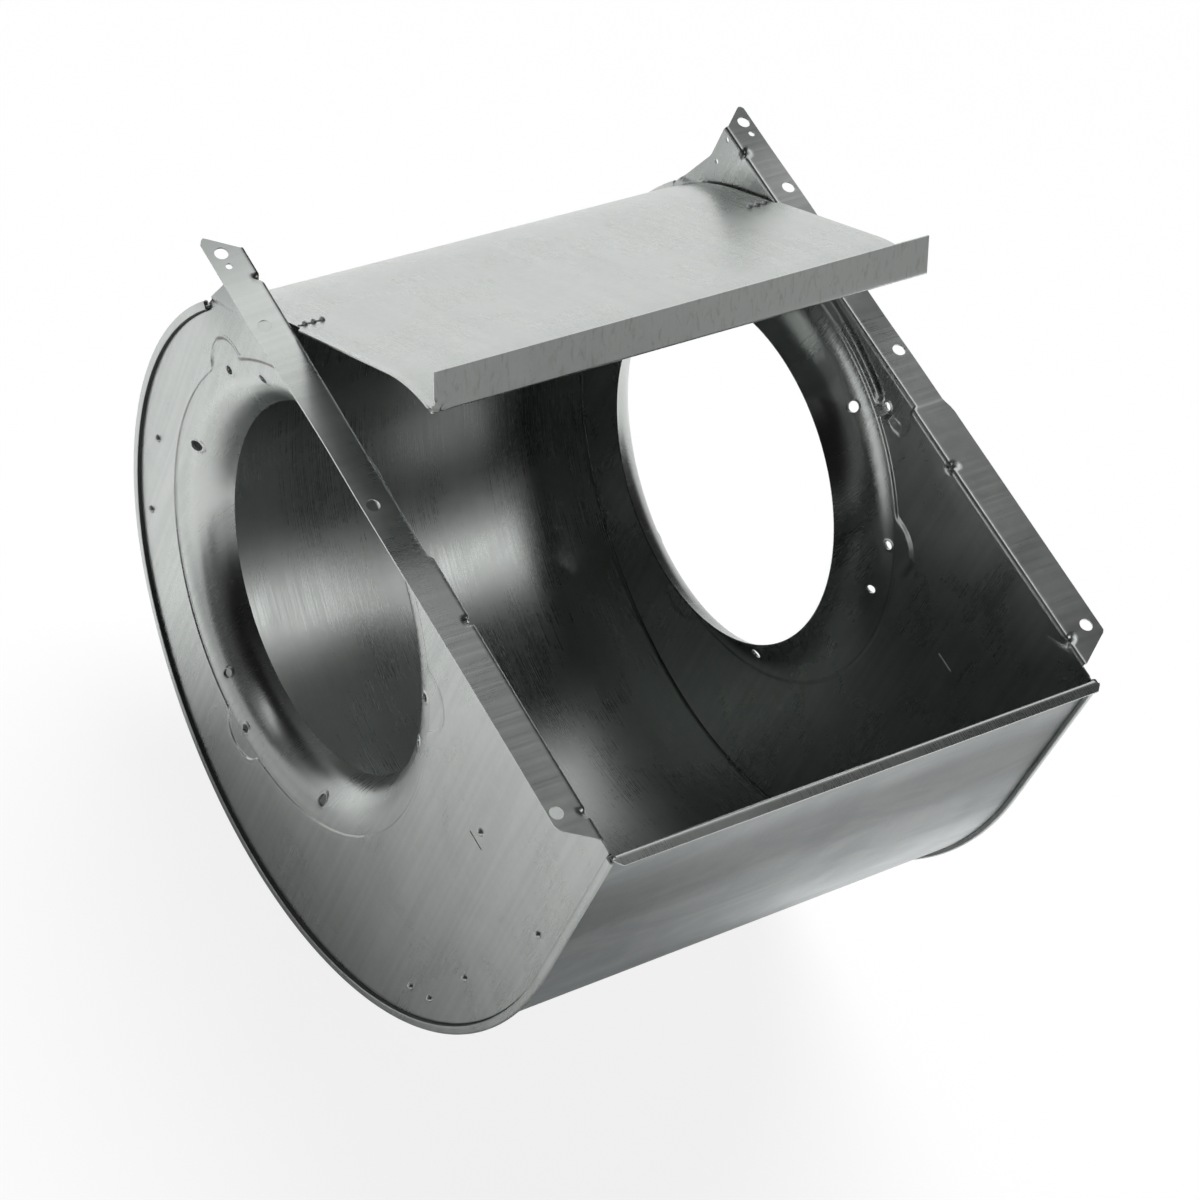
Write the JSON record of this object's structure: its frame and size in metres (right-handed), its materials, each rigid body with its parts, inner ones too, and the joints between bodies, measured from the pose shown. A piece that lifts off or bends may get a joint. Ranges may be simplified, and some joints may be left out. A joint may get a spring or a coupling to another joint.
{
  "type": "blower housing",
  "caption": "Double-inlet sheet-steel blower housing: scroll wrap between pressed side plates with bell-mouth inlets, flanged outlet and a curved cut-off tongue.",
  "frame": {"origin": "on the inlet axis, midway between the two side plates", "axes": "+X along the inlet axis towards the right side plate, +Z the way the air leaves the outlet, -Y towards the flat front panel"},
  "size_m": [0.376, 0.4691, 0.4652],
  "materials": {
    "galvanised": "satin bare galvanised sheet, slightly greenish grey"
  },
  "bodies": {
    "root": {"left_side_plate": "galvanised", "right_side_plate": "galvanised", "scroll_wrap": "galvanised"}
  },
  "joints": []
}
